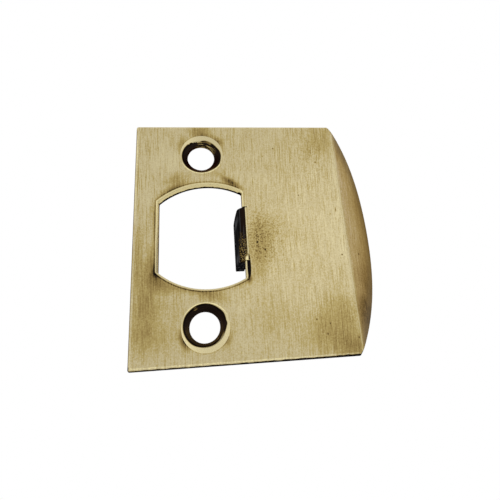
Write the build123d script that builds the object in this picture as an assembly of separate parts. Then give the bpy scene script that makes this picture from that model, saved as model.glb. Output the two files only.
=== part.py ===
from build123d import *
import math
import os

# Strike plate for a door latch, in millimetres: one stamped sheet with a curled
# lip along its right side and a tang bent back out of the latch opening.
# +Z runs up along the line of the two screws and the face looks to -Y.
# The back, which lies on the door jamb, is the plane Y = 0, and the origin is
# on it, midway between the screws.

sheet = 2.2
plate_height = 57.15
plate_width = 57.15
corner_r = 0.5
face_edge_r = 0.35

screw_spacing = 41.275
screw_to_edge = 15.45
bore_r = 3.3

# Each screw hole has a steep cone with a shallow band round it. Neither is quite
# true to the bore: their shifts go across the plate and away from its middle.
cone_r = 4.7
cone_angle = 82.0
cone_shift = (0.17, -0.2)
band_r = 5.1
band_slope = 20.0
band_shift = (0.3, 0.12)
rim_r = 0.15

latch_width = 19.5
latch_height = 25.2
latch_shift = -0.25
latch_arc_r = 17.0
latch_arc_shift = 1.25
latch_corner_r = 0.5
latch_edge_r = 0.5

lip_reach = 7.97
lip_kink = 18.0
lip_turn = 30.0
lip_start = 0.35
lip_corner_r = 0.45
lip_cut_tilt = 36.0
crease_r = 2.6

tang_width = 13.0
tang_depth = 12.4
tang_setback = 1.1
tang_gap = 0.1
tang_bend_r = 2.4
tang_bend = 86.0
tang_curl = 4.0
tang_corner_r = 0.4
tang_edge_r = 0.2

half = plate_height / 2
left = -screw_to_edge
crease = left + plate_width - lip_reach
latch_left = latch_shift - latch_width / 2
latch_right = latch_shift + latch_width / 2
tang_root = latch_right + tang_setback


def on_arc(centre, radius, degrees):
    """Point of a section's arc; 0 degrees is its point nearest the viewer."""
    angle = math.radians(degrees)
    return (centre[0] + radius * math.sin(angle), centre[1] - radius * math.cos(angle))


def lip_curl():
    """Centre and outer radius of the curl, so that the lip has its full reach."""
    start = math.radians(lip_kink)
    end = math.radians(lip_kink + lip_turn)
    radius = lip_reach / (math.sin(end) - math.sin(start))
    return (crease - radius * math.sin(start), radius * math.cos(start) - sheet), radius


def bent_sheet():
    """The sheet at full height, its curled lip left too wide."""
    centre, outer = lip_curl()
    inner = outer - sheet
    start = math.degrees(math.acos(centre[1] / inner))
    end = lip_kink + 1.5 * lip_turn
    middle = (lip_kink + end) / 2
    inner_start = on_arc(centre, inner, start)
    with BuildSketch(Plane.XY) as section:
        with BuildLine():
            Polyline(inner_start, (left, 0), (left, -sheet), (crease, -sheet))
            face = ThreePointArc(
                (crease, -sheet), on_arc(centre, outer, middle), on_arc(centre, outer, end)
            )
            end_line = Line(face @ 1, on_arc(centre, inner, end))
            ThreePointArc(end_line @ 1, on_arc(centre, inner, middle), inner_start)
        make_face()
    body = extrude(section.sketch, half, both=True)
    folds = body.edges().filter_by(Axis.Z).sort_by_distance((crease, 0, 0))
    body = fillet(folds[0], crease_r - sheet)
    folds = body.edges().filter_by(Axis.Z).sort_by_distance((crease, -sheet, 0))
    return fillet(folds[0], crease_r)


def lip_edge(height):
    """How far out the lip's edge is at one height, seen from the front."""
    sagitta = lip_reach + lip_start
    radius = (half**2 + sagitta**2) / (2 * sagitta)
    return crease + lip_reach - radius + math.sqrt(radius**2 - height**2)


def lip_cutter():
    """What lies beyond the lip's edge; its wall stands square to the curl there."""
    tilt = math.radians(lip_cut_tilt)
    outward = Vector(math.cos(tilt), math.sin(tilt), 0)
    square = Vector(math.sin(tilt), -math.cos(tilt), 0)
    plane = Plane(origin=(crease, -sheet, 0), x_dir=outward, z_dir=square)
    centre, outer = lip_curl()
    edge = []
    for step in range(-6, 7):
        height = half * step / 6
        x = lip_edge(height)
        depth = centre[1] - math.sqrt(outer**2 - (x - centre[0])**2) if x > crease else -sheet
        edge.append(((x - crease) * math.cos(tilt) + (depth + sheet) * math.sin(tilt), height))
    corner = edge[0][0]
    far = 2 * lip_reach
    with BuildSketch(plane) as blank:
        with BuildLine():
            Spline(*edge)
            Polyline((corner, half), (corner, plate_height), (far, plate_height))
            Polyline((far, plate_height), (far, -plate_height), (corner, -plate_height), (corner, -half))
        make_face()
    return extrude(blank.sketch, 3 * lip_reach, both=True)


def latch_outline():
    """Latch opening: straight sides, with flat arcs above and below."""
    apex = latch_height / 2
    centre = apex - latch_arc_r
    from_left = latch_left - latch_arc_shift
    from_right = latch_right - latch_arc_shift
    high_left = centre + math.sqrt(latch_arc_r**2 - from_left**2)
    high_right = centre + math.sqrt(latch_arc_r**2 - from_right**2)
    with BuildSketch(Plane.XZ) as outline:
        with BuildLine():
            ThreePointArc((latch_left, high_left), (latch_arc_shift, apex), (latch_right, high_right))
            Line((latch_right, high_right), (latch_right, -high_right))
            ThreePointArc((latch_right, -high_right), (latch_arc_shift, -apex), (latch_left, -high_left))
            Line((latch_left, -high_left), (latch_left, high_left))
        make_face()
        fillet(outline.vertices(), latch_corner_r)
    return outline.sketch


def tang():
    """The tang: the sheet bent back at its root and curling slightly further on."""
    total = tang_bend + tang_curl
    bend = math.radians(tang_bend)
    rest = tang_depth - tang_bend_r * (1 - math.cos(bend))
    outer = rest / (math.cos(bend) - math.cos(math.radians(total)))
    inner = outer - sheet
    heel = (tang_root, tang_bend_r - sheet)
    heel_r = tang_bend_r - sheet
    curl = on_arc(heel, tang_bend_r - outer, -tang_bend)
    inside = tang_root + 1
    half_bend = tang_bend / 2
    half_curl = tang_bend + tang_curl / 2
    with BuildSketch(Plane.XY) as section:
        with BuildLine():
            face = Line((inside, -sheet), (tang_root, -sheet))
            bent = ThreePointArc(
                face @ 1,
                on_arc(heel, tang_bend_r, -half_bend),
                on_arc(heel, tang_bend_r, -tang_bend),
            )
            curled = ThreePointArc(
                bent @ 1, on_arc(curl, outer, -half_curl), on_arc(curl, outer, -total)
            )
            tip = Line(curled @ 1, on_arc(curl, inner, -total))
            back = ThreePointArc(
                tip @ 1, on_arc(curl, inner, -half_curl), on_arc(heel, heel_r, -tang_bend)
            )
            ThreePointArc(back @ 1, on_arc(heel, heel_r, -half_bend), (tang_root, 0))
            Polyline((tang_root, 0), (inside, 0), (inside, -sheet))
        make_face()
    body = extrude(section.sketch, tang_width / 2, both=True)
    tip_ends = body.faces().sort_by(Axis.Y)[-1].edges().group_by(Axis.Z)
    body = fillet(tip_ends[0] + tip_ends[-1], tang_corner_r)
    outer_face = body.faces().sort_by_distance(curled @ 0.5)[0]
    clear = tang_bend_r / 2
    return fillet(outer_face.edges().filter_by(lambda edge: edge.center().Y > clear), tang_edge_r)


def let_in(radius, slope, shift, side):
    """A cone let into the face round the upper or lower screw, as its rim's radius and its slope."""
    above = -2 * sheet
    point = radius * math.tan(math.radians(slope)) - sheet
    with BuildSketch(Plane.XY) as profile:
        with BuildLine():
            Polyline((0, above), (radius, above), (radius, -sheet), (0, point), (0, above))
        make_face()
    across, outward = shift
    return Pos(across, 0, side * (screw_spacing / 2 + outward)) * revolve(profile.sketch, Axis.Y)


def screw_hole(side):
    """What the upper or lower screw hole takes out: its bore, its cone and the band round it."""
    bore = Pos(0, 0, side * screw_spacing / 2) * Rot(90, 0, 0) * Cylinder(bore_r, 4 * sheet)
    cone = let_in(cone_r, 90 - cone_angle / 2, cone_shift, side)
    return bore + cone + let_in(band_r, band_slope, band_shift, side)


def on_face(edge):
    """Whether an edge bounds the face: it lies in it and isn't a fold of the lip."""
    middle = edge.center()
    centre, outer = lip_curl()
    from_flat = abs(middle.Y + sheet)
    from_curl = abs(math.hypot(middle.X - centre[0], middle.Y - centre[1]) - outer)
    is_long = edge.bounding_box().size.Z > plate_height / 2
    is_fold = is_long and middle.X > 0 and edge.geom_type == GeomType.LINE
    return min(from_flat, from_curl) < 0.1 and not is_fold


def trimmed_sheet():
    """The bent sheet cut to its outline, with its face rolled off at the edge."""
    body = bent_sheet() - lip_cutter()
    corners = body.edges().filter_by(lambda edge: abs(edge.center().Y + sheet / 2) < 0.01)
    corners = corners.filter_by(lambda edge: abs(edge.center().Z) > half - 0.01).group_by(Axis.X)
    body = fillet(corners[-1], lip_corner_r)
    corners = body.edges().filter_by(Axis.Y).filter_by(lambda edge: edge.center().X < left + 0.01)
    body = fillet(corners, corner_r)
    return fillet(body.edges().filter_by(on_face), face_edge_r)


def strike_plate():
    """The whole plate, in one piece."""
    body = trimmed_sheet() - extrude(latch_outline(), 2 * sheet, both=True)
    rim = body.edges().filter_by_position(Axis.Y, -sheet - 0.01, -sheet + 0.01)
    rim = rim.filter_by_position(Axis.X, latch_left - 0.01, latch_right + 0.01)
    rim = rim.filter_by_position(Axis.Z, -latch_height / 2, latch_height / 2)
    body = fillet(rim, latch_edge_r)
    notch = Box(2 * tang_setback, 4 * sheet, tang_width + 2 * tang_gap)
    body -= Pos(tang_root - tang_setback, 0, 0) * notch
    body += tang()
    for side in (-1, 1):
        body -= screw_hole(side)
    rims = body.edges().filter_by(GeomType.CIRCLE)
    rims = rims.filter_by(lambda edge: abs(edge.radius - band_r) < 0.01)
    return fillet(rims, rim_r)


os.makedirs("parts", exist_ok=True)
plate = strike_plate()
export_step(plate, "parts/strike_plate.step")
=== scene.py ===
"""Door strike plate in brushed antique brass, in a plain pale studio.

The plate is one stamped sheet and its shape comes from the CAD node. This script gives it the
finish that the real one has (brushed brass, dark patina in the hollows and bright metal where
it was buffed through), with painted shade and highlights laid into that finish, and sets up
the floor, the lamps and the camera.
The scene is in metres; inside the finish every length is in millimetres.
"""

import logging
import math
from dataclasses import dataclass
from enum import Enum
from typing import Sequence, Union

import bpy
from mathutils import Matrix, Vector


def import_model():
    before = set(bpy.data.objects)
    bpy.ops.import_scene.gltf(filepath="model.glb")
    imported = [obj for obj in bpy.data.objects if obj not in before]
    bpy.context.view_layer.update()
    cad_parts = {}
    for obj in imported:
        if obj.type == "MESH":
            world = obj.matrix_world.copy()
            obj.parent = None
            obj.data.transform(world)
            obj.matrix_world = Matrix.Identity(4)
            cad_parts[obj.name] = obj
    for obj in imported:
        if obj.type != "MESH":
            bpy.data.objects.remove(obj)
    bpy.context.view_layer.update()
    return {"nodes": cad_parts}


LOG = logging.getLogger("strike_plate")
MM_PER_M = 1000.0
ANY_DEPTH = 1000.0

Socket = bpy.types.NodeSocket
Source = Union[Socket, float, Sequence[float]]
Colour = tuple[float, float, float]


@dataclass(frozen=True)
class Fade:
    """A smooth turn from a low level to a high one while a number goes from start to end."""

    start: float
    end: float
    low: float = 0.0
    high: float = 1.0

    def moved(self, distance: float) -> "Fade":
        """The same turn, further on."""
        return Fade(self.start + distance, self.end + distance, self.low, self.high)


class NodeBench:
    """Lays nodes into one shader tree and wires them together."""

    def __init__(self, tree: bpy.types.NodeTree) -> None:
        """Takes the tree that the nodes go into."""
        self.tree = tree

    def add(self, kind: str, **settings: object) -> bpy.types.Node:
        """Adds one node.

        Args:
            kind: Blender's name for the kind of node.
            **settings: the node's own settings, by name.

        Returns:
            The new node.
        """
        node = self.tree.nodes.new(kind)
        for name, value in settings.items():
            setattr(node, name, value)
        return node

    def feed(self, socket: Socket, source: Source) -> None:
        """Wires a socket to another one, or sets it to a plain value."""
        if isinstance(source, bpy.types.NodeSocket):
            self.tree.links.new(source, socket)
        else:
            socket.default_value = source

    def math(self, operation: str, *sources: Source, clamp: bool = False) -> Socket:
        """Adds a Math node.

        Args:
            operation: Blender's name for the sum.
            *sources: its one to three numbers.
            clamp: whether the result is kept between 0 and 1.

        Returns:
            The socket with the result.
        """
        node = self.add("ShaderNodeMath", operation=operation, use_clamp=clamp)
        for socket, source in zip(node.inputs, sources):
            self.feed(socket, source)
        return node.outputs[0]

    def vector(self, operation: str, *sources: Source) -> Socket:
        """Adds a Vector Math node.

        Args:
            operation: Blender's name for the sum.
            *sources: its one or two vectors.

        Returns:
            The socket with the result, a number for LENGTH and a vector otherwise.
        """
        node = self.add("ShaderNodeVectorMath", operation=operation)
        for socket, source in zip(node.inputs, sources):
            self.feed(socket, source)
        return node.outputs["Value" if operation == "LENGTH" else "Vector"]

    def reach(self, across: Source, along: Source) -> Socket:
        """Distance from the middle of a plane, from the two parts of a place in it."""
        joined = self.add("ShaderNodeCombineXYZ")
        self.feed(joined.inputs["X"], across)
        self.feed(joined.inputs["Y"], along)
        return self.vector("LENGTH", joined.outputs["Vector"])

    def ease(
        self, value: Source, start: Source, end: Source, low: Source = 0.0, high: Source = 1.0
    ) -> Socket:
        """Turns a number smoothly from one level to another.

        Args:
            value: the number that is followed.
            start: where the turn starts.
            end: where it is done.
            low: the level before it.
            high: the level after it.

        Returns:
            The socket with the level.
        """
        node = self.add("ShaderNodeMapRange", interpolation_type="SMOOTHSTEP")
        for name, source in zip(
            ("Value", "From Min", "From Max", "To Min", "To Max"), (value, start, end, low, high)
        ):
            self.feed(node.inputs[name], source)
        return node.outputs["Result"]

    def fade(self, value: Source, fade: Fade) -> Socket:
        """Turns a number smoothly from one level to another, as a fade says."""
        return self.ease(value, fade.start, fade.end, fade.low, fade.high)

    def times(self, first: Source, *others: Source) -> Socket:
        """Multiplies any number of values."""
        for other in others:
            first = self.math("MULTIPLY", first, other)
        return first

    def minus(self, first: Source, second: Source) -> Socket:
        """Takes the second number from the first."""
        return self.math("SUBTRACT", first, second)

    def noise(self, place: Socket) -> bpy.types.Node:
        """Adds a noise at the scale of a place."""
        node = self.add("ShaderNodeTexNoise", noise_dimensions="3D")
        self.feed(node.inputs["Vector"], place)
        node.inputs["Scale"].default_value = 1.0
        return node

    def total(self, *sources: Source) -> Socket:
        """Adds up any number of values."""
        result = sources[0]
        for source in sources[1:]:
            result = self.math("ADD", result, source)
        return result

    def blend(self, factor: Source, first: Source, second: Source) -> Socket:
        """Mixes two numbers: the first at factor 0, the second at factor 1."""
        node = self.add("ShaderNodeMix", data_type="FLOAT")
        self.feed(node.inputs[0], factor)
        self.feed(node.inputs[2], first)
        self.feed(node.inputs[3], second)
        return node.outputs[0]

    def use(self, effect: bpy.types.NodeTree, **sources: Source) -> dict[str, Socket]:
        """Places an effect.

        Args:
            effect: the effect's node group.
            **sources: what feeds its inputs, with _ for a space in their names.

        Returns:
            The effect's outputs by name.
        """
        node = self.add("ShaderNodeGroup")
        node.node_tree = effect
        node.label = effect.name
        for name, source in sources.items():
            self.feed(node.inputs[name.replace("_", " ")], source)
        return {socket.name: socket for socket in node.outputs}


class Effect:
    """A node group with named inputs and outputs, built once and used with its own values."""

    def __init__(self, name: str, inputs: dict[str, Source], outputs: Sequence[str]) -> None:
        """Makes the group and its sockets.

        Args:
            name: the effect's name.
            inputs: the inputs and their usual values; three numbers make a vector.
            outputs: the names of the outputs, which are all single values.
        """
        self.tree = bpy.data.node_groups.new(name, "ShaderNodeTree")
        for label, usual in inputs.items():
            is_number = isinstance(usual, float)
            kind = "NodeSocketFloat" if is_number else "NodeSocketVector"
            socket = self.tree.interface.new_socket(name=label, in_out="INPUT", socket_type=kind)
            socket.default_value = usual
        for label in outputs:
            self.tree.interface.new_socket(name=label, in_out="OUTPUT", socket_type="NodeSocketFloat")
        self.bench = NodeBench(self.tree)
        self.given = self.bench.add("NodeGroupInput").outputs
        self.result = self.bench.add("NodeGroupOutput").inputs


@dataclass(frozen=True)
class PlateSizes:
    """Sizes of the plate that its finish follows, in millimetres and degrees.

    The two screws are one above the other at X = 0, and the back is the plane Y = 0. Shifts are
    across the plate and away from its middle.
    """

    sheet: float = 2.2
    half_height: float = 28.575
    left: float = -15.45
    crease: float = 33.73
    lip_reach: float = 7.97
    lip_start: float = 0.35
    lip_kink: float = 18.0
    lip_turn: float = 30.0
    screw_height: float = 20.6375
    cone_r: float = 4.7
    cone_angle: float = 82.0
    cone_shift: tuple[float, float] = (0.17, -0.2)
    band_r: float = 5.1
    band_slope: float = 20.0
    band_shift: tuple[float, float] = (0.3, 0.12)
    band_rim: float = 0.03
    latch_left: float = -10.0
    latch_right: float = 9.5
    latch_apex: float = 12.6
    latch_arc_r: float = 17.0
    latch_arc_shift: float = 1.25
    latch_rim: float = 0.5
    tang_root: float = 10.6
    tang_half_width: float = 6.5

    def curl(self) -> tuple[float, float, float]:
        """Works out the lip's curl.

        Returns:
            The curl's centre, across and in depth, and the radius of its outside.
        """
        start = math.radians(self.lip_kink)
        end = math.radians(self.lip_kink + self.lip_turn)
        radius = self.lip_reach / (math.sin(end) - math.sin(start))
        return self.crease - radius * math.sin(start), radius * math.cos(start) - self.sheet, radius

    def lip_plan(self) -> tuple[float, float]:
        """Works out the arc that the lip's edge follows, seen from the front.

        Returns:
            Where the arc's centre is across the plate, and its radius.
        """
        sagitta = self.lip_reach + self.lip_start
        radius = (self.half_height**2 + sagitta**2) / (2 * sagitta)
        return self.crease + self.lip_reach - radius, radius


class PlateMap(Effect):
    """Where a spot of the plate is: behind its face, and from its openings and its outline."""

    def __init__(self, sizes: PlateSizes) -> None:
        """Builds the map.

        Args:
            sizes: the plate's sizes.
        """
        super().__init__(
            "plate map",
            {"Place": (0.0, 0.0, 0.0)},
            ("Depth", "Lip", "Latch", "Rim", "Cone", "Outline"),
        )
        self.sizes = sizes
        bench = self.bench
        split = bench.add("ShaderNodeSeparateXYZ")
        bench.feed(split.inputs[0], self.given["Place"])
        across, back, up = (split.outputs[axis] for axis in "XYZ")
        off_middle = bench.math("ABSOLUTE", up)

        bench.feed(self.result["Depth"], self._depth(across, back))
        bench.feed(self.result["Lip"], bench.minus(across, sizes.crease))
        bench.feed(self.result["Latch"], self._past_latch(across, off_middle))
        bench.feed(self.result["Outline"], self._inside_outline(across, off_middle, up))

        from_band = self._from_screw(across, off_middle, sizes.band_shift)
        from_cone = self._from_screw(across, off_middle, sizes.cone_shift)
        bench.feed(self.result["Rim"], bench.minus(from_band, sizes.band_r + sizes.band_rim))
        band = self._sunk(from_band, sizes.band_r, sizes.band_slope)
        cone = self._sunk(from_cone, sizes.cone_r, 90.0 - sizes.cone_angle / 2)
        bench.feed(self.result["Cone"], bench.minus(cone, band))

    def _depth(self, across: Socket, back: Socket) -> Socket:
        """Distance behind the face, flat or curled."""
        centre_x, centre_y, curl_r = self.sizes.curl()
        past_centre = self.bench.math("MAXIMUM", self.bench.minus(across, centre_x), 0.0)
        from_curl = self.bench.reach(past_centre, self.bench.minus(centre_y, back))
        behind_curl = self.bench.minus(curl_r, from_curl)
        return self.bench.math("MINIMUM", self.bench.math("ADD", back, self.sizes.sheet), behind_curl)

    def _past_latch(self, across: Socket, off_middle: Socket) -> Socket:
        """Distance outward from the latch opening's edge."""
        arc_drop = self.sizes.latch_arc_r - self.sizes.latch_apex
        beside_arc = self.bench.minus(across, self.sizes.latch_arc_shift)
        from_arc = self.bench.reach(beside_arc, self.bench.math("ADD", off_middle, arc_drop))
        past_arc = self.bench.minus(from_arc, self.sizes.latch_arc_r)
        past_left = self.bench.minus(self.sizes.latch_left, across)
        past_right = self.bench.minus(across, self.sizes.latch_right)
        return self.bench.math("MAXIMUM", past_arc, self.bench.math("MAXIMUM", past_left, past_right))

    def _inside_outline(self, across: Socket, off_middle: Socket, up: Socket) -> Socket:
        """Distance inward from the plate's outline, seen from the front."""
        plan_x, plan_r = self.sizes.lip_plan()
        from_plan = self.bench.reach(self.bench.minus(across, plan_x), up)
        inside_lip = self.bench.minus(plan_r, from_plan)
        inside_left = self.bench.minus(across, self.sizes.left)
        inside_ends = self.bench.minus(self.sizes.half_height, off_middle)
        return self.bench.math("MINIMUM", inside_lip, self.bench.math("MINIMUM", inside_left, inside_ends))

    def _from_screw(self, across: Socket, off_middle: Socket, shift: tuple[float, float]) -> Socket:
        """Distance from the middle of a circle round the nearer screw."""
        beside = self.bench.minus(across, shift[0])
        above = self.bench.minus(off_middle, self.sizes.screw_height + shift[1])
        return self.bench.reach(beside, above)

    def _sunk(self, from_middle: Socket, radius: float, slope: float) -> Socket:
        """Depth of a cone let into the face."""
        inside = self.bench.minus(radius, from_middle)
        return self.bench.times(inside, math.tan(math.radians(slope)))


class SoftSpot(Effect):
    """An oval mark, full in its middle and fading out to its edge."""

    def __init__(self) -> None:
        """Builds the group; Edge is the share of the mark that fades."""
        super().__init__(
            "soft spot",
            {
                "Place": (0.0, 0.0, 0.0),
                "Middle": (0.0, 0.0, 0.0),
                "Reach": (1.0, 1.0, 1.0),
                "Lean": 0.0,
                "Edge": 1.0,
                "Strength": 1.0,
            },
            ("Mark",),
        )
        bench = self.bench
        turn = bench.add("ShaderNodeVectorRotate", rotation_type="Y_AXIS")
        bench.feed(turn.inputs["Vector"], self.given["Place"])
        bench.feed(turn.inputs["Center"], self.given["Middle"])
        bench.feed(turn.inputs["Angle"], self.given["Lean"])
        offset = bench.vector("SUBTRACT", turn.outputs["Vector"], self.given["Middle"])
        share = bench.vector("LENGTH", bench.vector("DIVIDE", offset, self.given["Reach"]))
        start = bench.minus(1.0, self.given["Edge"])
        bench.feed(self.result["Mark"], bench.ease(share, start, 1.0, self.given["Strength"], 0.0))


class BrushMarks(Effect):
    """Marks that a brush leaves in the metal, all one way but for a slow sway and a slight fan."""

    SWAYS_PER_MM = (0.09, 0.09, 0.05)
    SWAY_MM = 8.0
    FAN_PER_MM = 0.0018
    ROUGHNESS = 0.6

    def __init__(self) -> None:
        """Builds the group; Marks is 0 to 1 with 0.5 as its middle."""
        super().__init__(
            "brush marks",
            {"Place": (0.0, 0.0, 0.0), "Width": 0.25, "Length": 5.0, "Sway": 0.1, "Detail": 1.0},
            ("Marks",),
        )
        bench = self.bench
        drift = bench.noise(bench.vector("MULTIPLY", self.given["Place"], self.SWAYS_PER_MM))
        drift.inputs["Detail"].default_value = 1.0
        sway = bench.times(bench.minus(drift.outputs[0], 0.5), self.given["Sway"])
        split = bench.add("ShaderNodeSeparateXYZ")
        bench.feed(split.inputs[0], self.given["Place"])
        fan = bench.minus(1.0, bench.times(split.outputs["Z"], self.FAN_PER_MM))
        straight = bench.times(split.outputs["X"], fan)
        lateral = bench.math("ADD", straight, bench.times(sway, self.SWAY_MM))
        size = bench.add("ShaderNodeCombineXYZ")
        bench.feed(size.inputs["X"], bench.math("DIVIDE", lateral, self.given["Width"]))
        bench.feed(size.inputs["Y"], bench.math("DIVIDE", split.outputs["Y"], self.given["Width"]))
        bench.feed(size.inputs["Z"], bench.math("DIVIDE", split.outputs["Z"], self.given["Length"]))
        hair = bench.noise(size.outputs["Vector"])
        bench.feed(hair.inputs["Detail"], self.given["Detail"])
        hair.inputs["Roughness"].default_value = self.ROUGHNESS
        bench.feed(self.result["Marks"], hair.outputs[0])


class Mottle(Effect):
    """Cloudy or grainy unevenness, the same in every direction."""

    def __init__(self) -> None:
        """Builds the group; Cloud is 0 to 1 with 0.5 as its middle."""
        super().__init__(
            "mottle",
            {"Place": (0.0, 0.0, 0.0), "Grain Size": 1.0, "Detail": 2.0},
            ("Cloud",),
        )
        bench = self.bench
        noise = bench.noise(self.given["Place"])
        bench.feed(noise.inputs["Scale"], bench.math("DIVIDE", 1.0, self.given["Grain Size"]))
        bench.feed(noise.inputs["Detail"], self.given["Detail"])
        bench.feed(self.result["Cloud"], noise.outputs[0])


class Patina(Enum):
    """How a mark of patina lies on the metal."""

    HALO = "a soft shadow"
    GATHERED = "gathered against the rim of an opening"
    STREAKED = "drawn out by the brush"
    SPECKLED = "broken up into specks"
    BLACK = "left whole in a hollow"
    PIT = "caught in a single pit"
    RAGGED = "broken away from the edge of a screw hole's cone"
    SMEARED = "spread from that cone over the bright band round it"
    # these marks also carry a painted glint in the lower screw hole's cone
    SCORED = "scored through in rings by the tool that cut the cone"


@dataclass(frozen=True)
class PatinaMark:
    """One mark of patina.

    Sizes are in millimetres and degrees: its middle and half its size, across and up, and how
    far its right end leans up.
    """

    kind: Patina
    middle: tuple[float, float]
    reach: tuple[float, float]
    strength: float
    lean: float = 0.0


def marks_of(kind: Patina, *rows: Sequence[float]) -> tuple[PatinaMark, ...]:
    """Makes marks of one kind.

    Args:
        kind: how the marks lie on the metal.
        *rows: for each mark its middle and half its size, each across and up, then its
            strength and, if it leans, its lean.

    Returns:
        The marks.
    """
    return tuple(PatinaMark(kind, row[0:2], row[2:4], *row[4:]) for row in rows)


MARKS = (
    *marks_of(
        Patina.HALO,
        (0.2, 27.3, 4.8, 2.2, 0.2),
        (-4.7, 24.2, 1.5, 2.8, 0.17, -20.0),
        (-6.0, 13.8, 4.4, 2.8, 0.23, 20.0),
        (3.6, 15.4, 3.4, 1.8, 0.08),
        (7.3, 12.9, 4.4, 1.25, 0.48, -34.0),
        (-14.6, -20.0, 2.2, 7.0, 0.06),
        (12.5, 13.5, 6.0, 4.5, -0.05),
        (7.6, 15.4, 2.2, 1.4, -0.08),
        (0.6, 13.6, 2.6, 1.6, -0.05),
        (-11.0, 5.0, 1.9, 7.0, 0.07),
        (-14.4, -11.0, 2.4, 9.0, 0.06),
        (-8.0, -22.5, 3.4, 4.5, 0.06),
        (15.0, -20.5, 8.0, 7.5, 0.04),
        (1.6, -14.9, 6.0, 2.0, 0.06),
        (26.5, 13.5, 8.0, 8.0, -0.04),
        (35.5, 14.5, 4.0, 7.0, -0.05),
        (31.0, -3.0, 4.5, 8.0, -0.055),
        (-12.6, 13.5, 4.0, 14.0, -0.045),
        (4.5, 24.1, 1.5, 3.0, 0.2, -45.0),
        (-10.8, -8.8, 2.8, 5.0, 0.24),
        (-8.2, -12.0, 4.0, 2.4, 0.37, -24.0),
        (-14.2, -4.0, 2.6, 9.0, 0.15),
        (-11.6, -16.0, 5.0, 12.0, 0.13),
        (-13.2, -23.0, 5.4, 7.0, 0.12),
        (-11.2, -4.4, 1.8, 5.0, 0.14),
        (13.6, -2.0, 4.0, 9.0, 0.05),
        (10.2, -10.9, 0.9, 1.7, 0.42),
        (4.2, -15.3, 2.4, 1.7, 0.06),
        (13.2, -15.2, 3.0, 2.6, 0.06),
        (-8.2, -15.0, 2.6, 2.4, 0.06),
        (7.0, -17.6, 2.0, 3.4, -0.08),
        (24.0, -23.0, 6.5, 6.0, 0.09),
        (33.0, -24.5, 4.4, 5.0, 0.09),
        (12.4, -7.6, 3.4, 6.0, 0.12),
        (-7.5, 19.5, 6.0, 10.0, -0.09),
        (37.6, -13.0, 4.6, 11.0, 0.17, 12.0),
        (36.2, -21.0, 3.6, 8.0, 0.34, 12.0),
        (29.5, -20.0, 7.0, 9.0, 0.15),
        (31.5, -27.0, 5.0, 4.0, 0.2),
        (31.0, 23.0, 4.6, 6.5, 0.08),
    ),
    *marks_of(
        Patina.GATHERED,
        (1.0, 26.2, 4.6, 2.4, 0.28),
        (4.6, 24.4, 3.4, 2.0, 0.29, -48.0),
        (-4.6, 23.2, 2.0, 3.4, 0.2, -20.0),
        (7.0, 13.0, 3.4, 2.0, 0.12, -30.0),
        (-7.0, 11.6, 5.0, 3.0, 0.3, 30.0),
        (-10.4, -9.2, 2.4, 3.6, 0.22),
        (-2.6, -13.0, 9.0, 2.6, 0.17, -14.0),
        (-4.4, -23.2, 1.8, 3.4, 0.5, 30.0),
        (5.2, -23.6, 1.8, 3.0, 0.28, -30.0),
        (8.6, -11.6, 3.4, 2.6, 0.1, 20.0),
    ),
    *marks_of(
        Patina.STREAKED,
        (-12.4, -15.0, 3.4, 11.0, 0.15),
        (-6.3, -19.0, 1.6, 6.0, 0.06),
        (28.5, -24.0, 8.0, 11.0, 0.12),
        (30.0, 26.0, 7.0, 8.0, 0.08),
        (6.4, -18.5, 1.2, 4.6, 0.07),
        (-4.2, -24.6, 1.0, 2.4, 0.12),
        (1.5, -14.0, 5.0, 1.8, 0.2),
    ),
    *marks_of(
        Patina.SPECKLED,
        (12.6, -1.4, 3.6, 7.6, 0.17),
        (14.4, -1.6, 6.8, 12.0, 0.15),
        (27.0, 19.0, 7.0, 11.0, 0.05),
    ),
    *marks_of(
        Patina.BLACK,
        (10.24, -7.8, 0.7, 4.6, 1.0),
    ),
    *marks_of(
        Patina.PIT,
        (18.1, 22.2, 0.26, 0.36, 0.6),
        (28.6, 18.2, 0.28, 0.4, 0.6),
        (15.3, 20.0, 0.2, 0.24, 0.4),
        (23.3, 9.2, 0.22, 0.34, 0.6),
        (24.7, 6.9, 0.16, 0.5, 0.35),
        (32.1, 5.2, 0.2, 0.9, 0.5),
        (30.7, 4.2, 0.2, 0.3, 0.35),
        (27.2, -21.4, 0.24, 0.3, 0.5),
        (24.3, -20.4, 0.26, 0.36, 0.6),
        (33.2, -24.7, 0.22, 0.4, 0.45),
        (26.4, -23.6, 0.24, 0.4, 0.5),
        (32.1, -6.1, 0.26, 0.26, 0.8),
        (36.7, -5.8, 0.24, 0.3, 0.6),
        (12.4, -2.3, 0.3, 0.4, 0.5),
        (14.2, -4.2, 0.3, 0.34, 0.5),
        (14.1, -5.8, 0.26, 0.3, 0.5),
    ),
    *marks_of(
        Patina.RAGGED,
        (-1.6, 24.6, 3.0, 1.7, 1.15, 14.0),
    ),
    *marks_of(
        Patina.SMEARED,
        (4.8, 20.4, 1.6, 3.6, 0.22),
        (4.0, 17.8, 2.4, 2.2, 0.26),
        (4.5, -20.0, 0.5, 0.7, 0.4),
        (3.9, -18.0, 1.6, 1.8, 0.12),
        (1.2, -25.2, 5.0, 2.2, -0.22),
        (3.9, -23.2, 3.0, 3.2, -0.3),
        (-2.0, -17.2, 2.6, 1.6, -0.1),
    ),
    *marks_of(
        Patina.SCORED,
        (0.6, 24.0, 2.8, 1.2, 1.0, -12.0),
        (2.8, 23.2, 1.6, 2.2, 1.0),
        # painted glint in the lower screw hole's cone
        (-1.9, -16.7, 0.7, 0.4, 1.0, 26.0),
        (3.6, -23.0, 1.2, 2.0, 0.7),
    ),
)


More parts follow.
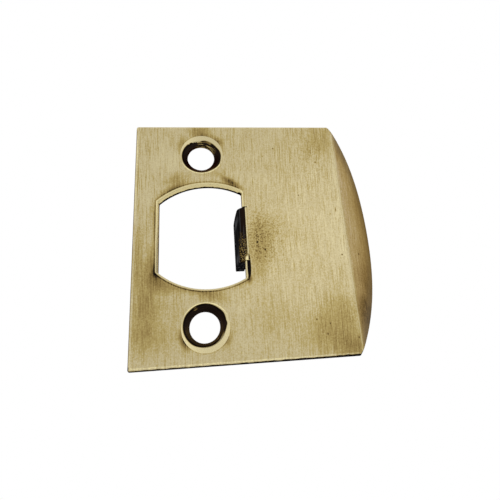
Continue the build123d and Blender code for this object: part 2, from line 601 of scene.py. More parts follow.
@dataclass(frozen=True)
class FaceWear:
    """How the brushed face and the lip hold patina, with painted shade on the lip and a painted highlight
    along its fold.

    Levels, lines and swings are amounts of patina; places and widths are in millimetres.
    """

    level: float = 0.264
    least: float = 0.15
    hair_swing: float = 0.2
    fine_hair_swing: float = 0.5
    band_swing: float = 0.06
    cloud_swing: float = 0.1
    grain_swing: float = 0.36
    bands_on_lip: Fade = Fade(0.0, 1.0, 1.0, 3.5)
    scratches: Fade = Fade(0.3, 0.45, 0.15, 0.0)
    patches: Fade = Fade(0.34, 0.66, 0.75, 1.2)
    lines_at_left: Fade = Fade(-14.0, -2.0, 0.4, 0.0)
    lines_above_bottom: Fade = Fade(-18.0, -8.0)
    lines_at_right: Fade = Fade(20.0, 28.0)
    lines_low_down: Fade = Fade(-16.0, -8.0, 0.2, 0.0)
    lines_high_up: Fade = Fade(6.0, 16.0, 1.0, 1.5)

    streaks: Fade = Fade(0.32, 0.64, 0.72, 1.25)
    specks: Fade = Fade(0.46, 0.72, 0.55, 1.75)
    clouds: Fade = Fade(0.3, 0.7, 0.7, 1.2)
    gathered_by_latch: Fade = Fade(0.0, 1.7, 1.0, 0.0)
    gathered_by_hole: Fade = Fade(0.0, 1.8, 1.0, 0.0)
    black_spots: Fade = Fade(0.2, 0.4)

    line_off: float = 0.08
    line_half_width: float = 0.2
    latch_line: Fade = Fade(4.0, 12.0, 0.4, 0.3)
    latch_line_above_tang: float = -0.34
    latch_halo: Fade = Fade(0.0, 1.1, 0.07, 0.0)
    hole_line: Fade = Fade(-4.0, 0.0, -0.3, 0.13)
    root_line_place: float = -0.4
    root_line_half_width: float = 0.3
    root_line: float = -0.3
    root_line_end: Fade = Fade(0.0, 0.7, 1.0, 0.0)

    fold_shift: Fade = Fade(10.0, 26.0, -0.05, 0.45)
    # partly patina, partly painted shade: the lip darker past its fold and towards its edge
    lip: Fade = Fade(-0.2, 0.5, 0.0, 0.075)
    by_lip_edge: Fade = Fade(-1.0, 7.5, 0.21, 0.0)
    onto_lip: Fade = Fade(0.0, 0.9)
    # painted highlight along the lip's fold, faded out near the bottom
    fold_highlight_place: float = -0.6
    fold_highlight_half_width: float = 0.8
    fold_highlight: Fade = Fade(-26.0, -18.0, 0.0, -0.045)


@dataclass(frozen=True)
class HoleWear:
    """How the screw holes hold patina: their bands are bright and their cones black."""

    broken: Fade = Fade(0.4, 0.6, 0.05, 0.5)
    cone_growth: float = 0.06
    cone_edge: Fade = Fade(-0.02, 0.03)
    cone_depth: tuple[float, float] = (0.1, 0.4)
    deep_level: Fade = Fade(-23.0, -17.0, 0.905, 0.96)
    ring_pattern: tuple[float, float, float] = (0.4, 5.0, 0.4)
    scores: Fade = Fade(0.5, 0.59, 0.0, 0.62)
    rings: Fade = Fade(0.42, 0.66, 0.0, 0.02)
    band: Fade = Fade(-5.0, 5.0, 0.05, 0.1)
    band_grain: float = 0.12
    brown_place: float = -0.02
    brown_half_width: float = 0.07
    brown: float = 0.45


@dataclass(frozen=True)
class WallWear:
    """How what lies behind the face holds patina: rims, cut walls and the back, with painted shadow deep in
    the latch opening's walls.
    """

    rim: Fade = Fade(-9.0, 9.0, 0.08, 0.0)
    rim_grain: float = 0.1
    rolled: Fade = Fade(0.4, 0.7)
    lip_rim: float = 0.45
    along_lip: Fade = Fade(-1.2, -0.4)
    within_lip: Fade = Fade(0.6, 1.1, 1.0, 0.0)
    torn: float = 0.68
    torn_swing: float = 0.4
    tear_size: tuple[float, float] = (0.5, 0.9)
    latch_reach: float = 1.3
    # past this depth the latch opening's walls turn to painted shadow
    bright_depth: float = 1.38
    bright_depth_swing: float = 0.8
    bright_depth_above_tang: float = -0.6
    wall_shadow_fade: Fade = Fade(-0.06, 0.1)
    beside_tang: Fade = Fade(-1.0, -0.2)
    above_tang: Fade = Fade(-1.5, 0.5)
    back: float = 0.6
    back_cloud_swing: float = 0.5
    back_grain_swing: float = 0.2
    back_start: Fade = Fade(-0.04, -0.01)


@dataclass(frozen=True)
class EdgeWear:
    """The bright line and the black round the plate's outer edge; the black is partly patina and partly
    painted shade on the rolled edge, darkest and widest along the bottom, which faces down.

    Three numbers are for the sides, the top and the bottom of the plate.
    """

    near_end: float = 1.0
    shine: tuple[float, float, float] = (0.14, 0.06, 0.2)
    shine_place: tuple[float, float, float] = (0.45, 0.45, 0.62)
    shine_half_width: float = 0.26
    shine_before_lip: Fade = Fade(-1.6, -0.2, 1.0, 0.0)
    # partly patina, partly painted shade on the rolled edge, darkest and widest along the bottom
    black: tuple[float, float, float] = (0.84, 0.7, 0.985)
    black_width: tuple[float, float, float] = (0.19, 0.1, 0.33)
    black_blur: float = 0.03
    bottom_growth: float = 0.004
    bottom_swing: float = 0.45


@dataclass(frozen=True)
class TangWear:
    """How the tang holds patina: black, with brass specks, a painted glint at its root and painted grey
    highlights on its black.
    """

    side_play: float = 0.05
    root_place: float = -0.52
    root_grain: float = 0.12
    root_edge: Fade = Fade(-0.08, 0.02, 1.0, 0.0)
    behind_back: float = 0.05
    rubbed: float = 0.42
    rubbed_low_down: Fade = Fade(-5.0, 3.2, 1.0, 0.0)
    rubbed_hair_swing: float = 6.0
    rubbed_at_root: Fade = Fade(-1.7, 0.6, 1.0, 0.0)
    rubbed_specks: Fade = Fade(0.5, 0.62, 0.14, 1.0)
    # painted glint on the tang's lower corner at its root
    glint_place: tuple[float, float, float] = (-0.55, -2.0, 0.4)
    glint_reach: tuple[float, float, float] = (0.7, 1.2, 1.0)
    glint_edge: float = 0.6
    # painted grey highlights on the tang's black, in streaks and spots
    highlight_streaks: Fade = Fade(0.54, 0.68, 0.0, 0.6)
    highlight_streak_size: tuple[float, float] = (0.75, 9.0)
    highlight_spots: Sequence[tuple[Sequence[float], Sequence[float], float]] = (
        ((8.4, 2.5, 3.9), (9.0, 4.6, 1.8), 0.9),
        ((8.4, 3.0, -5.2), (9.0, 4.4, 1.5), 0.7),
    )
    brown_at_root: Fade = Fade(-2.1, -0.9, 1.0, 0.0)
    oxide_dark: Colour = (0.006, 0.0055, 0.006)
    oxide_brown: Colour = (0.014, 0.0085, 0.006)
    highlight_grey: Colour = (0.075, 0.075, 0.08)
    oxide_start: Fade = Fade(0.8, 0.95)
    oxide_roughness: float = 0.7


@dataclass(frozen=True)
class AntiqueBrass:
    """Brushed brass with dark patina, buffed bright again on its rims and its face.

    Patina, with the painted shade and highlights that are laid into it, runs from 0 for bright
    metal to 1 for black. A brushed texture is the width and the length of its marks in
    millimetres, a mottled one the size of its grain and its detail.
    Colours are linear, and relief is in metres.
    """

    sizes: PlateSizes
    hairs: tuple[float, float] = (0.22, 6.0)
    fine_hairs: tuple[float, float] = (0.15, 5.0)
    bands: tuple[float, float] = (1.1, 16.0)
    cloud: tuple[float, float] = (6.0, 3.0)
    grain: tuple[float, float] = (0.26, 1.0)
    ragged: tuple[float, float] = (1.3, 4.0)
    patches: tuple[float, float] = (3.4, 2.0)
    marks: Sequence[PatinaMark] = MARKS
    face: FaceWear = FaceWear()
    holes: HoleWear = HoleWear()
    walls: WallWear = WallWear()
    edge: EdgeWear = EdgeWear()
    tang: TangWear = TangWear()
    tones: Sequence[tuple[float, Colour]] = (
        (0.0, (0.86, 0.75, 0.395)),
        (0.155, (0.576, 0.5, 0.288)),
        (0.27, (0.508, 0.431, 0.25)),
        (0.38, (0.436, 0.344, 0.134)),
        (0.5, (0.348, 0.258, 0.095)),
        (0.61, (0.274, 0.193, 0.067)),
        (0.725, (0.2, 0.138, 0.045)),
        (0.84, (0.115, 0.075, 0.024)),
        (0.93, (0.026, 0.017, 0.013)),
        (1.0, (0.0055, 0.004, 0.0042)),
    )
    rim_level: float = 0.02
    hollow_level: float = 0.995
    face_start: Fade = Fade(0.012, 0.045)
    hole_end: float = -0.03
    front_depth: float = 0.5
    lip_warmth: Colour = (1.01, 0.95, 1.03)
    warm_start: Fade = Fade(-0.2, 1.0)
    lip_edge: Colour = (0.15, 0.122, 0.086)
    lip_edge_share: Fade = Fade(0.2, 3.2, 0.55, 0.0)
    grazing_tint: Colour = (0.42, 0.34, 0.26)
    roughness: Fade = Fade(0.0, 0.5, 0.27, 0.42)
    roughness_swing: float = 0.3
    relief: float = 0.000012
    relief_strength: float = 0.6
    relief_grain: float = 0.35

    def material(self) -> bpy.types.Material:
        """Builds the finish.

        Returns:
            The material, with all its patterns on the plate's own coordinates.
        """
        brass = bpy.data.materials.new("antique_brass_finish")
        brass.use_nodes = True
        brass.node_tree.nodes.clear()
        BrassNodes(self, brass.node_tree).lay()
        return brass


class BrassNodes:
    """The antique brass finish while its nodes are laid into a material."""

    def __init__(self, finish: AntiqueBrass, tree: bpy.types.NodeTree) -> None:
        """Lays what every part of the finish uses.

        Args:
            finish: the finish.
            tree: the material's empty tree.
        """
        self.finish = finish
        self.sizes = finish.sizes
        self.bench = bench = NodeBench(tree)
        place = bench.add("ShaderNodeVectorMath", operation="SCALE")
        bench.feed(place.inputs[0], bench.add("ShaderNodeTexCoord").outputs["Object"])
        place.inputs["Scale"].default_value = MM_PER_M
        self.place = place.outputs["Vector"]
        split = bench.add("ShaderNodeSeparateXYZ")
        bench.feed(split.inputs[0], self.place)
        self.across, self.back, self.up = (split.outputs[axis] for axis in "XYZ")
        self.off_middle = bench.math("ABSOLUTE", self.up)
        self.where = bench.use(PlateMap(self.sizes).tree, Place=self.place)
        self.spot = SoftSpot().tree
        self.brush = BrushMarks().tree
        self.mottle = Mottle().tree
        self.hairs = self._brushed(*finish.hairs)
        self.fine_hairs = self._brushed(*finish.fine_hairs)
        self.bands = self._brushed(*finish.bands)
        self.cloud = self._mottled(*finish.cloud)
        self.grain = self._mottled(*finish.grain)
        self.ragged = self._mottled(*finish.ragged)
        self.patches = self._mottled(*finish.patches)

    def _brushed(self, width: float, length: float) -> Socket:
        """Lays brush marks of a width and length."""
        return self.bench.use(self.brush, Place=self.place, Width=width, Length=length)["Marks"]

    def _mottled(self, size: float, detail: float) -> Socket:
        """Lays a mottle of a grain size."""
        return self.bench.use(self.mottle, Place=self.place, Grain_Size=size, Detail=detail)["Cloud"]

    def _swing(self, texture: Socket, width: float) -> Socket:
        """Turns a texture round 0.5 into one round 0, of a width."""
        return self.bench.times(self.bench.minus(texture, 0.5), width)

    def _band(self, value: Source, middle: Source, half_width: float, strength: Source) -> Socket:
        """Full at one level of a number, and fading out on both sides."""
        off = self.bench.math("ABSOLUTE", self.bench.minus(value, middle))
        return self.bench.ease(off, 0.0, half_width, strength, 0.0)

    def _marks(self, kind: Patina) -> Socket:
        """Lays all marks of a kind and adds them up."""
        laid = [
            self.bench.use(
                self.spot,
                Place=self.place,
                Middle=(mark.middle[0], 0.0, mark.middle[1]),
                Reach=(mark.reach[0], ANY_DEPTH, mark.reach[1]),
                Lean=math.radians(mark.lean),
                Strength=mark.strength,
            )["Mark"]
            for mark in self.finish.marks
            if mark.kind is kind
        ]
        return self.bench.total(*laid)

    def lay(self) -> None:
        """Lays the whole finish, from the patina's amount to the metal's colour and gloss."""
        bench = self.bench
        off_face = bench.fade(self.where["Depth"], self.finish.face_start)
        amount = bench.blend(off_face, self._face(), self._walls())
        in_hole = bench.math("LESS_THAN", self.where["Rim"], 0.0)
        before_back = bench.math("LESS_THAN", self.where["Depth"], self.sizes.sheet + self.finish.hole_end)
        amount = bench.blend(bench.times(in_hole, before_back), amount, self._holes())
        amount = self._edge(amount)
        zone = self._tang_zone()
        amount = bench.blend(zone, amount, self._tang())
        self._shade(amount, zone)

    def _face(self) -> Socket:
        """Patina of the face and the lip: texture, marks, and lines along edges and folds."""
        bench = self.bench
        wear = self.finish.face
        fold = bench.minus(self.where["Lip"], bench.fade(self.up, wear.fold_shift))
        streaky = bench.fade(self.hairs, wear.streaks)
        level = bench.total(wear.level, self._face_texture(fold), self._face_marks(streaky), self._lip(fold))
        halo = bench.fade(self.where["Latch"], wear.latch_halo.moved(self.sizes.latch_rim))
        level = bench.math("MAXIMUM", bench.math("ADD", level, halo), wear.least)
        level = bench.total(level, self._face_lines(streaky), self._marks(Patina.PIT))
        black = bench.fade(self._marks(Patina.BLACK), wear.black_spots)
        return bench.math("MAXIMUM", level, black, clamp=True)

    def _face_texture(self, fold: Socket) -> Socket:
        """Brush lines, bands, clouds and grain of the face.

        Args:
            fold: distance past the lip's fold.

        Returns:
            The patina that they add.
        """
        bench = self.bench
        wear = self.finish.face
        at_left = bench.times(
            bench.fade(self.across, wear.lines_at_left), bench.fade(self.up, wear.lines_above_bottom)
        )
        low_right = bench.times(
            bench.fade(self.across, wear.lines_at_right), bench.fade(self.up, wear.lines_low_down)
        )
        strong = bench.total(at_left, low_right, bench.fade(self.up, wear.lines_high_up))
        brush_lines = bench.total(
            self._swing(self.hairs, wear.hair_swing),
            self._swing(self.fine_hairs, wear.fine_hair_swing),
            bench.fade(self.fine_hairs, wear.scratches),
        )
        return bench.total(
            bench.times(brush_lines, strong, bench.fade(self.patches, wear.patches)),
            bench.times(self._swing(self.bands, wear.band_swing), bench.fade(fold, wear.bands_on_lip)),
            self._swing(self.cloud, wear.cloud_swing),
            self._swing(self.grain, wear.grain_swing),
        )

    def _face_marks(self, streaky: Socket) -> Socket:
        """Soft, gathered, streaked and speckled marks of the face.

        Args:
            streaky: the strength that the brush lines give a mark.

        Returns:
            The patina that they add.
        """
        bench = self.bench
        wear = self.finish.face
        at_latch = bench.fade(self.where["Latch"], wear.gathered_by_latch.moved(self.sizes.latch_rim))
        at_hole = bench.fade(self.where["Rim"], wear.gathered_by_hole)
        at_rim = bench.math("MAXIMUM", at_latch, at_hole)
        return bench.total(
            bench.times(self._marks(Patina.HALO), bench.fade(self.cloud, wear.clouds)),
            bench.times(self._marks(Patina.GATHERED), at_rim, streaky),
            bench.times(self._marks(Patina.STREAKED), streaky),
            bench.times(self._marks(Patina.SPECKLED), bench.fade(self.grain, wear.specks)),
        )

    def _face_lines(self, streaky: Socket) -> Socket:
        """Thin lines along the latch opening, the screw holes and the tang's root.

        Args:
            streaky: the strength that the brush lines give a line.

        Returns:
            The patina that they add, less than 0 where they are bright.
        """
        bench = self.bench
        wear = self.finish.face
        clear = bench.times(self._above_tang(), wear.latch_line_above_tang)
        at_latch = bench.math("ADD", clear, bench.fade(self.up, wear.latch_line), clamp=True)
        off_latch = self.sizes.latch_rim + wear.line_off
        latch_line = self._band(self.where["Latch"], off_latch, wear.line_half_width, at_latch)
        at_hole = bench.fade(self.off_middle, wear.hole_line.moved(self.sizes.screw_height))
        hole_line = self._band(self.where["Rim"], wear.line_off, wear.line_half_width, at_hole)
        root = self.sizes.tang_root + wear.root_line_place
        root_line = self._band(self.across, root, wear.root_line_half_width, wear.root_line)
        along_root = bench.fade(self.off_middle, wear.root_line_end.moved(self.sizes.tang_half_width))
        return bench.total(
            bench.times(bench.math("ADD", latch_line, hole_line), streaky),
            bench.times(along_root, root_line),
        )

    def _lip(self, fold: Socket) -> Socket:
        """The lip's tone, darker past its fold and towards its edge partly from patina and partly as painted
        shade, and a painted highlight along its fold.

        Args:
            fold: distance past the lip's fold.

        Returns:
            The patina that they add.
        """
        bench = self.bench
        wear = self.finish.face
        # partly painted shade: darker towards the lip's edge
        to_edge = bench.times(
            bench.fade(self.where["Outline"], wear.by_lip_edge), bench.fade(fold, wear.onto_lip)
        )
        # painted highlight along the lip's fold, faded out near the bottom
        shine = bench.fade(self.up, wear.fold_highlight)
        fold_highlight = self._band(fold, wear.fold_highlight_place, wear.fold_highlight_half_width, shine)
        return bench.total(bench.fade(fold, wear.lip), to_edge, fold_highlight)

    def _holes(self) -> Socket:
        """Patina of the two screw holes: bright bands round black cones with a brown line between."""
        bench = self.bench
        wear = self.finish.holes
        broken = bench.times(self._marks(Patina.RAGGED), bench.fade(self.ragged, wear.broken))
        smeared = bench.total(self.where["Cone"], wear.cone_growth, self._marks(Patina.SMEARED))
        inside = bench.minus(smeared, broken)
        deep = bench.fade(self.up, wear.deep_level)
        hollow = bench.ease(inside, *wear.cone_depth, self.finish.hollow_level, deep)

        along = bench.add("ShaderNodeCombineXYZ")
        for socket, value, scale in zip(
            along.inputs, (self.across, self.where["Depth"], self.up), wear.ring_pattern
        ):
            bench.feed(socket, bench.times(value, scale))
        rings = bench.use(self.mottle, Place=along.outputs["Vector"])["Cloud"]
        # scored rings, and a painted glint in the lower screw hole's cone
        scored = bench.times(self._marks(Patina.SCORED), bench.fade(rings, wear.scores))
        dark = bench.minus(hollow, bench.math("ADD", scored, bench.fade(rings, wear.rings)))
        clean = bench.total(
            self.finish.rim_level, bench.fade(self.up, wear.band), bench.times(self.grain, wear.band_grain)
        )
        brown = self._band(inside, wear.brown_place, wear.brown_half_width, wear.brown)
        return bench.blend(bench.fade(inside, wear.cone_edge), bench.math("ADD", clean, brown), dark)

    def _walls(self) -> Socket:
        """Patina of everything behind the face: rims, cut walls and the back, with painted shadow deep in
        the latch opening's walls.
        """
        bench = self.bench
        wear = self.finish.walls
        depth = self.where["Depth"]
        uneven = self._brushed(*wear.tear_size)
        rim = bench.total(
            self.finish.rim_level, bench.fade(self.up, wear.rim), bench.times(self.grain, wear.rim_grain)
        )

        bright = bench.total(
            wear.bright_depth,
            self._swing(uneven, wear.bright_depth_swing),
            bench.times(self._above_tang(), wear.bright_depth_above_tang),
        )
        # painted shadow: beyond the bright rim the latch opening's walls turn black
        into_wall_shadow = bench.fade(bench.minus(depth, bright), wear.wall_shadow_fade)
        latch = bench.blend(into_wall_shadow, rim, self.finish.hollow_level)

        at_lip = bench.times(
            bench.fade(self.where["Lip"], wear.along_lip), bench.fade(self.where["Outline"], wear.within_lip)
        )
        rolled = bench.blend(at_lip, rim, wear.lip_rim)
        torn = bench.math("ADD", wear.torn, self._swing(uneven, wear.torn_swing))
        outer = bench.blend(bench.fade(depth, wear.rolled), rolled, torn)
        at_latch = bench.math("LESS_THAN", self.where["Latch"], wear.latch_reach)

        stain = bench.total(
            wear.back,
            self._swing(self.cloud, wear.back_cloud_swing),
            self._swing(self.grain, wear.back_grain_swing),
        )
        at_back = bench.fade(depth, wear.back_start.moved(self.sizes.sheet))
        amount = bench.blend(at_back, bench.blend(at_latch, outer, latch), stain)
        return bench.math("ADD", amount, 0.0, clamp=True)

    def _above_tang(self) -> Socket:
        """Says where the latch opening's right side is clear of the tang, above it."""
        wear = self.finish.walls
        beside = self.bench.fade(self.across, wear.beside_tang.moved(self.sizes.latch_right))
        above = self.bench.fade(self.up, wear.above_tang.moved(self.sizes.tang_half_width))
        return self.bench.times(beside, above)

    def _by_side(self, sides: Source, top: Source, bottom: Source) -> Socket:
        """Gives each side of the plate's outer edge its own value.

        Args:
            sides: the value at the left and the right.
            top: the value along the top.
            bottom: the value along the bottom.

        Returns:
            The socket with the value.
        """
        bench = self.bench
        inner = self.sizes.half_height - self.finish.edge.near_end
        at_bottom = bench.math("LESS_THAN", self.up, -inner)
        at_top = bench.math("GREATER_THAN", self.up, inner)
        return bench.blend(at_bottom, bench.blend(at_top, sides, top), bottom)

    def _edge(self, amount: Socket) -> Socket:
        """Adds the bright line and the black that run round the plate's outer edge; the black is partly
        patina and partly painted shade, darkest along the bottom.

        Args:
            amount: the patina without them.

        Returns:
            The patina with them.
        """
        bench = self.bench
        wear = self.finish.edge
        outline = self.where["Outline"]
        before_lip = bench.fade(self.where["Lip"], wear.shine_before_lip)
        strength = bench.times(self._by_side(*wear.shine), before_lip)
        shine = self._band(outline, self._by_side(*wear.shine_place), wear.shine_half_width, strength)

        # partly painted shade: the black band on the rolled edge, widest along the bottom where the edge
        # faces down
        sides, top, bottom = wear.black_width
        bottom_width = bench.total(
            bottom, bench.times(self.across, wear.bottom_growth), self._swing(self.ragged, wear.bottom_swing)
        )
        past_black = bench.minus(outline, self._by_side(sides, top, bottom_width))
        level = self._by_side(*wear.black)
        black = bench.ease(past_black, -wear.black_blur, wear.black_blur, level, 0.0)
        in_front = bench.math("LESS_THAN", self.where["Depth"], self.finish.front_depth)
        lit = bench.minus(amount, shine)
        return bench.math("MAXIMUM", lit, bench.times(black, in_front), clamp=True)

    def _tang_zone(self) -> Socket:
        """Says where the tang is: 1 on it and 0 elsewhere."""
        bench = self.bench
        wear = self.finish.tang
        level_with = bench.math("LESS_THAN", self.off_middle, self.sizes.tang_half_width + wear.side_play)
        right_of_middle = bench.math("GREATER_THAN", self.across, 0.0)
        root = bench.total(self.sizes.tang_root + wear.root_place, bench.times(self.grain, wear.root_grain))
        beside = bench.fade(bench.minus(self.across, root), wear.root_edge)
        behind = bench.math("GREATER_THAN", self.back, wear.behind_back)
        before_root = bench.math("LESS_THAN", self.across, self.sizes.tang_root)
        on_tang = bench.math("MAXIMUM", beside, bench.times(behind, before_root))
        return bench.times(level_with, right_of_middle, on_tang)

    def _tang(self) -> Socket:
        """Patina of the tang: black, with brass specks at its root and a painted glint under it."""
        bench = self.bench
        wear = self.finish.tang
        height = bench.math("ADD", self.up, self._swing(self.hairs, wear.rubbed_hair_swing))
        specks = bench.times(
            bench.fade(height, wear.rubbed_low_down),
            bench.fade(self.back, wear.rubbed_at_root),
            bench.fade(self.grain, wear.rubbed_specks),
        )
        dark = bench.minus(1.0, bench.times(specks, wear.rubbed))
        # painted glint on the tang's lower corner
        corner = Vector(wear.glint_place) + Vector((self.sizes.tang_root, 0.0, -self.sizes.tang_half_width))
        glint = self._spot_at(corner[:], wear.glint_reach, Edge=wear.glint_edge)
        return bench.blend(glint, dark, self.finish.rim_level)

    def _spot_at(self, middle: Sequence[float], reach: Sequence[float], **settings: float) -> Socket:
        """Lays one soft spot of a place and a size in all three directions."""
        return self.bench.use(self.spot, Place=self.place, Middle=middle, Reach=reach, **settings)["Mark"]

    def _oxide_with_highlights(self) -> Socket:
        """Colour of the tang's black: brown at its root, with painted grey highlights in spots and streaks.
        """
        bench = self.bench
        wear = self.finish.tang
        # painted grey highlights in spots and streaks
        highlight_spots = [self._spot_at(middle, reach, Strength=strength) for middle, reach, strength in wear.highlight_spots]
        highlight_streaks = bench.fade(self._brushed(*wear.highlight_streak_size), wear.highlight_streaks)
        grey = bench.math("ADD", bench.total(*highlight_spots), highlight_streaks, clamp=True)
        at_root = bench.fade(self.back, wear.brown_at_root)
        dark = self._mixed(at_root, (*wear.oxide_dark, 1.0), (*wear.oxide_brown, 1.0))
        return self._mixed(grey, dark, (*wear.highlight_grey, 1.0))

    def _mixed(self, factor: Source, first: Source, second: Source) -> Socket:
        """Mixes two colours: the first at factor 0, the second at factor 1."""
        node = self.bench.add("ShaderNodeMix", data_type="RGBA")
        self.bench.feed(node.inputs[0], factor)
        self.bench.feed(node.inputs[6], first)
        self.bench.feed(node.inputs[7], second)
        return node.outputs[2]

    def _tone(self, amount: Socket) -> Socket:
        """Colour of the brass under its patina, warmer on the lip and cooler at the lip's edge.

        Args:
            amount: the amount of patina.

        Returns:
            The socket with the colour.
        """
        bench = self.bench
        finish = self.finish
        ramp = bench.add("ShaderNodeValToRGB")
        stops = ramp.color_ramp.elements
        while len(stops) < len(finish.tones):
            stops.new(0.5)
        for stop, (position, colour) in zip(stops, finish.tones):
            stop.position = position
            stop.color = (*colour, 1.0)
        bench.feed(ramp.inputs[0], amount)
        warmed = bench.vector("MULTIPLY", ramp.outputs["Color"], finish.lip_warmth)
        in_front = bench.math("LESS_THAN", self.where["Depth"], finish.front_depth)
        on_lip = bench.times(in_front, bench.fade(self.where["Lip"], finish.warm_start))
        tone = self._mixed(on_lip, ramp.outputs["Color"], warmed)
        cool = bench.times(on_lip, bench.fade(self.where["Outline"], finish.lip_edge_share))
        return self._mixed(cool, tone, (*finish.lip_edge, 1.0))

    def _shade(self, amount: Socket, tang: Socket) -> None:
        """Colours the metal by its patina and gives it gloss and relief.

        Args:
            amount: the amount of patina.
            tang: 1 on the tang.
        """
        bench = self.bench
        finish = self.finish
        oxide = bench.times(tang, bench.fade(amount, finish.tang.oxide_start))
        metal = bench.add("ShaderNodeBsdfPrincipled")
        metal.inputs["Specular Tint"].default_value = (*finish.grazing_tint, 1.0)
        metal.inputs["Specular IOR Level"].default_value = 0.0
        bench.feed(metal.inputs["Metallic"], bench.minus(1.0, oxide))
        bench.feed(metal.inputs["Base Color"], self._mixed(oxide, self._tone(amount), self._oxide_with_highlights()))
        dull = bench.math(
            "ADD", bench.fade(amount, finish.roughness), self._swing(self.hairs, finish.roughness_swing)
        )
        bench.feed(metal.inputs["Roughness"], bench.blend(oxide, dull, finish.tang.oxide_roughness))

        bump = bench.add("ShaderNodeBump")
        bump.inputs["Strength"].default_value = finish.relief_strength
        bump.inputs["Distance"].default_value = finish.relief
        height = bench.math("ADD", self.hairs, bench.times(self.grain, finish.relief_grain))
        bench.feed(bump.inputs["Height"], height)
        bench.feed(metal.inputs["Normal"], bump.outputs["Normal"])
        out = bench.add("ShaderNodeOutputMaterial")
        bench.feed(out.inputs["Surface"], metal.outputs["BSDF"])


@dataclass(frozen=True)
class StrikePlate:
    """The plate: one stamped sheet, kept as the CAD has it, with its finish."""

    finish: AntiqueBrass
    node: str = "strike_plate"

    def dress(self, nodes: dict[str, bpy.types.Object]) -> bpy.types.Object:
        """Puts the finish on the plate.

        Args:
            nodes: the frame's objects by name.

        Returns:
            The plate's object.
        """
        plate = nodes[self.node]
        metal = self.finish.material()
        for slot in plate.material_slots:
            slot.material = metal
        return plate


@dataclass(frozen=True)
class Softbox:
    """A large soft lamp that looks at the plate; place and size in metres, power in watts."""

    name: str
    place: tuple[float, float, float]
    size: float
    power: float
    aim: tuple[float, float, float] = (0.013, 0.0, 0.0)

    def hang(self) -> bpy.types.Object:
        """Hangs the lamp and turns it to the plate.

        Returns:
            The lamp's object.
        """
        bpy.ops.object.light_add(type="AREA", location=self.place)
        lamp = bpy.context.active_object
        lamp.name = self.name
        lamp.data.shape = "SQUARE"
        lamp.data.size = self.size
        lamp.data.energy = self.power
        look = Vector(self.aim) - Vector(self.place)
        lamp.rotation_euler = look.to_track_quat("-Z", "Y").to_euler()
        return lamp


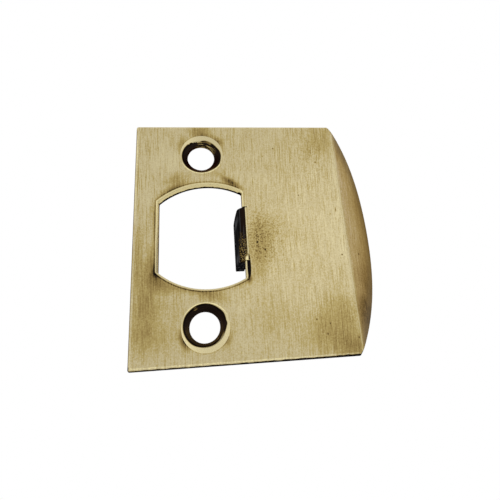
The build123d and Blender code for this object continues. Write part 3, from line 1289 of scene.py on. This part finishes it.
@dataclass(frozen=True)
class Studio:
    """The pale floor, the soft lamps and the white surroundings."""

    floor_height: float = -0.34
    floor_radius: float = 0.6
    floor_sides: int = 96
    floor_thickness: float = 0.02
    floor_rim: float = 0.008
    floor_colour: Colour = (0.86, 0.86, 0.85)
    floor_roughness: float = 0.7
    floor_gloss: float = 0.2
    seen_level: float = 1.0
    shade_level: float = 0.9
    lamps: Sequence[Softbox] = (
        Softbox("key_lamp", (0.32, -0.9, 0.26), 0.5, 0.3),
        Softbox("fill_lamp", (-0.9, -0.5, 0.35), 0.9, 0.5),
        Softbox("top_lamp", (0.0, 0.35, 1.1), 0.9, 0.8),
    )

    def build(self) -> list[bpy.types.Object]:
        """Builds all of it.

        Returns:
            The floor and the lamps.
        """
        self._surroundings()
        return [self._floor(), *(lamp.hang() for lamp in self.lamps)]

    def _floor(self) -> bpy.types.Object:
        """Makes the floor, a broad round slab with a rolled rim.

        Returns:
            The floor's object.
        """
        bpy.ops.object.select_all(action="DESELECT")
        bpy.ops.mesh.primitive_circle_add(
            vertices=self.floor_sides,
            radius=self.floor_radius,
            fill_type="NGON",
            location=(0.0, 0.0, self.floor_height),
        )
        floor = bpy.context.active_object
        floor.name = "studio_floor"
        bpy.ops.object.mode_set(mode="EDIT")
        bpy.ops.mesh.select_all(action="SELECT")
        down = (0.0, 0.0, -self.floor_thickness)
        bpy.ops.mesh.extrude_region_move(TRANSFORM_OT_translate={"value": down})
        bpy.ops.mesh.select_all(action="SELECT")
        bpy.ops.mesh.normals_make_consistent(inside=False)
        bpy.ops.object.mode_set(mode="OBJECT")
        rim = floor.modifiers.new("rolled_rim", "BEVEL")
        rim.width = self.floor_rim
        rim.segments = 4
        bpy.ops.object.modifier_apply(modifier=rim.name)
        bpy.ops.object.shade_smooth_by_angle(angle=math.radians(40.0))
        floor.data.materials.append(self._floor_paint())
        return floor

    def _floor_paint(self) -> bpy.types.Material:
        """Mixes the floor's pale matt paint.

        Returns:
            The material.
        """
        paint = bpy.data.materials.new("pale_floor_paint")
        paint.use_nodes = True
        paint.node_tree.nodes.clear()
        bench = NodeBench(paint.node_tree)
        matt = bench.add("ShaderNodeBsdfPrincipled")
        matt.inputs["Base Color"].default_value = (*self.floor_colour, 1.0)
        matt.inputs["Roughness"].default_value = self.floor_roughness
        matt.inputs["Specular IOR Level"].default_value = self.floor_gloss
        out = bench.add("ShaderNodeOutputMaterial")
        bench.feed(out.inputs["Surface"], matt.outputs["BSDF"])
        return paint

    def _surroundings(self) -> None:
        """Makes the surroundings white to the eye and in the metal, and softer as a light."""
        world = bpy.data.worlds.new("white_surroundings")
        bpy.context.scene.world = world
        world.use_nodes = True
        world.node_tree.nodes.clear()
        bench = NodeBench(world.node_tree)
        rays = bench.add("ShaderNodeLightPath").outputs
        seen = bench.math("MAXIMUM", rays["Is Camera Ray"], rays["Is Glossy Ray"])
        seen = bench.math("MAXIMUM", seen, rays["Is Transmission Ray"])
        either = bench.add("ShaderNodeMixShader")
        bench.feed(either.inputs[0], seen)
        for socket, level in zip(either.inputs[1:], (self.shade_level, self.seen_level)):
            white = bench.add("ShaderNodeBackground")
            white.inputs["Color"].default_value = (1.0, 1.0, 1.0, 1.0)
            white.inputs["Strength"].default_value = level
            bench.feed(socket, white.outputs[0])
        out = bench.add("ShaderNodeOutputWorld")
        bench.feed(out.inputs["Surface"], either.outputs[0])


@dataclass(frozen=True)
class PlateCamera:
    """The camera: low in front of the plate and turned up to it, close by."""

    place: tuple[float, float, float] = (0.003467, -0.070887, -0.02355)
    look: tuple[float, float, float] = (0.10037541, 0.95755275, 0.2702175)
    upward: tuple[float, float, float] = (0.03692941, -0.27498757, 0.96073829)
    lens: float = 22.708
    sensor: float = 36.0
    nearest: float = 0.001
    furthest: float = 50.0

    def stand(self) -> bpy.types.Object:
        """Puts the camera in place and makes it the scene's.

        Returns:
            The camera's object.
        """
        bpy.ops.object.camera_add(location=self.place)
        camera = bpy.context.active_object
        camera.name = "plate_camera"
        back = -Vector(self.look).normalized()
        right = Vector(self.upward).cross(back).normalized()
        turned = Matrix((right, back.cross(right), back)).transposed()
        camera.rotation_euler = turned.to_euler()
        camera.data.lens = self.lens
        camera.data.sensor_width = self.sensor
        camera.data.clip_start = self.nearest
        camera.data.clip_end = self.furthest
        bpy.context.scene.camera = camera
        return camera


def main() -> None:
    """Builds the scene round the frame, part by part."""
    logging.basicConfig(level=logging.INFO, format="%(name)s: %(message)s")
    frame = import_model()
    plate = StrikePlate(AntiqueBrass(PlateSizes())).dress(frame["nodes"])
    LOG.info("dressed %s, %d faces", plate.name, len(plate.data.polygons))
    for thing in Studio().build():
        LOG.info("set up %s", thing.name)
    LOG.info("stood %s", PlateCamera().stand().name)
    bpy.context.scene.view_settings.view_transform = "Standard"


if __name__ == "__main__":
    main()
